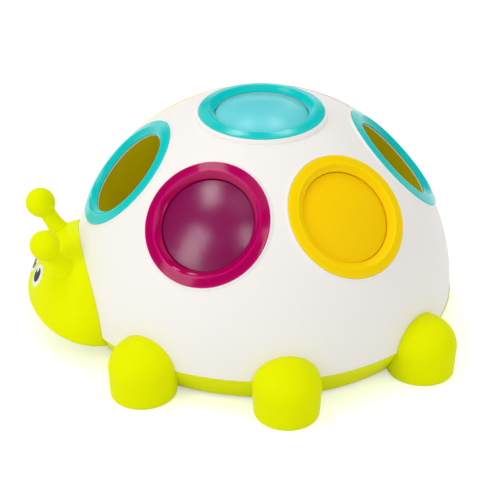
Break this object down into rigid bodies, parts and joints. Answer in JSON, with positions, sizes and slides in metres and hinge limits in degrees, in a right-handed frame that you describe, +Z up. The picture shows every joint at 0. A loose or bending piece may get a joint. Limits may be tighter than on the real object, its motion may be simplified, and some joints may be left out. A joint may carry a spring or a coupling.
{
  "type": "sensory turtle toy",
  "caption": "Baby toy turtle: a white dome with ringed holes and sprung press discs on a lime tray with stub feet, an egg-shaped head and ball-tipped feelers.",
  "frame": {"origin": "middle of the whole toy on the ground, under the dome and a little ahead of its axis", "axes": "+Z up; the head looks along -Y; +X is the turtle's left side, across the middle feet"},
  "size_m": [0.21, 0.1948, 0.1046],
  "materials": {
    "dome_white": "satin moulded plastic, warm white",
    "lime": "gloss moulded plastic, lime",
    "core_mustard": "satin moulded plastic, mustard yellow",
    "ring_teal": "gloss moulded plastic, teal",
    "ring_magenta": "gloss moulded plastic, magenta",
    "ring_yellow": "gloss moulded plastic, yellow",
    "disc_light_blue": "satin moulded plastic, light blue",
    "disc_purple": "satin moulded plastic, plum",
    "disc_warm_yellow": "satin moulded plastic, warm yellow",
    "eye_white": "gloss white inlay",
    "pupil_grey": "gloss dark grey inlay",
    "spring_steel": "drawn spring wire",
    "screw_steel": "plated steel"
  },
  "bodies": {
    "base": {"dome_shell": "dome_white", "ring_top": "ring_teal", "ring_front": "ring_teal", "ring_front_left": "ring_magenta", "ring_rear_left": "ring_yellow", "ring_rear": "ring_teal", "ring_rear_right": "ring_magenta", "ring_front_right": "ring_yellow", "spring_top": "spring_steel", "spring_front_left": "spring_steel", "spring_rear_left": "spring_steel", "spring_rear_right": "spring_steel", "spring_front_right": "spring_steel", "base_tray": "lime", "head_shell": "lime", "feeler_left": "lime", "feeler_right": "lime", "inner_core": "core_mustard", "liner_front": "core_mustard", "liner_rear": "core_mustard", "foot_front_left": "lime", "foot_front_right": "lime", "foot_middle_left": "lime", "foot_middle_right": "lime", "foot_rear_left": "lime", "foot_rear_right": "lime", "eye_left": "eye_white", "pupil_left": "pupil_grey", "eye_right": "eye_white", "pupil_right": "pupil_grey", "shell_screws": "screw_steel", "core_screws": "screw_steel", "foot_screws": "screw_steel", "head_screws": "screw_steel"},
    "disc_top": {"disc_top": "disc_light_blue"},
    "disc_front_left": {"disc_front_left": "disc_purple"},
    "disc_rear_left": {"disc_rear_left": "disc_warm_yellow"},
    "disc_rear_right": {"disc_rear_right": "disc_purple"},
    "disc_front_right": {"disc_front_right": "disc_warm_yellow"}
  },
  "joints": [
    {"name": "press_top", "type": "slide", "parent": "base", "child": "disc_top", "axis": [0, 0, -1], "range_m": [0, 0.005], "stiffness_N_per_m": 300, "springref_m": -0.003, "deforming": ["spring_top"]},
    {"name": "press_front_left", "type": "slide", "parent": "base", "child": "disc_front_left", "axis": [-0.6292, 0.3633, -0.6871], "range_m": [0, 0.005], "stiffness_N_per_m": 300, "springref_m": -0.003, "deforming": ["spring_front_left"]},
    {"name": "press_rear_left", "type": "slide", "parent": "base", "child": "disc_rear_left", "axis": [-0.6292, -0.3633, -0.6871], "range_m": [0, 0.005], "stiffness_N_per_m": 300, "springref_m": -0.003, "deforming": ["spring_rear_left"]},
    {"name": "press_rear_right", "type": "slide", "parent": "base", "child": "disc_rear_right", "axis": [0.6292, -0.3633, -0.6871], "range_m": [0, 0.005], "stiffness_N_per_m": 300, "springref_m": -0.003, "deforming": ["spring_rear_right"]},
    {"name": "press_front_right", "type": "slide", "parent": "base", "child": "disc_front_right", "axis": [0.6292, 0.3633, -0.6871], "range_m": [0, 0.005], "stiffness_N_per_m": 300, "springref_m": -0.003, "deforming": ["spring_front_right"]}
  ]
}
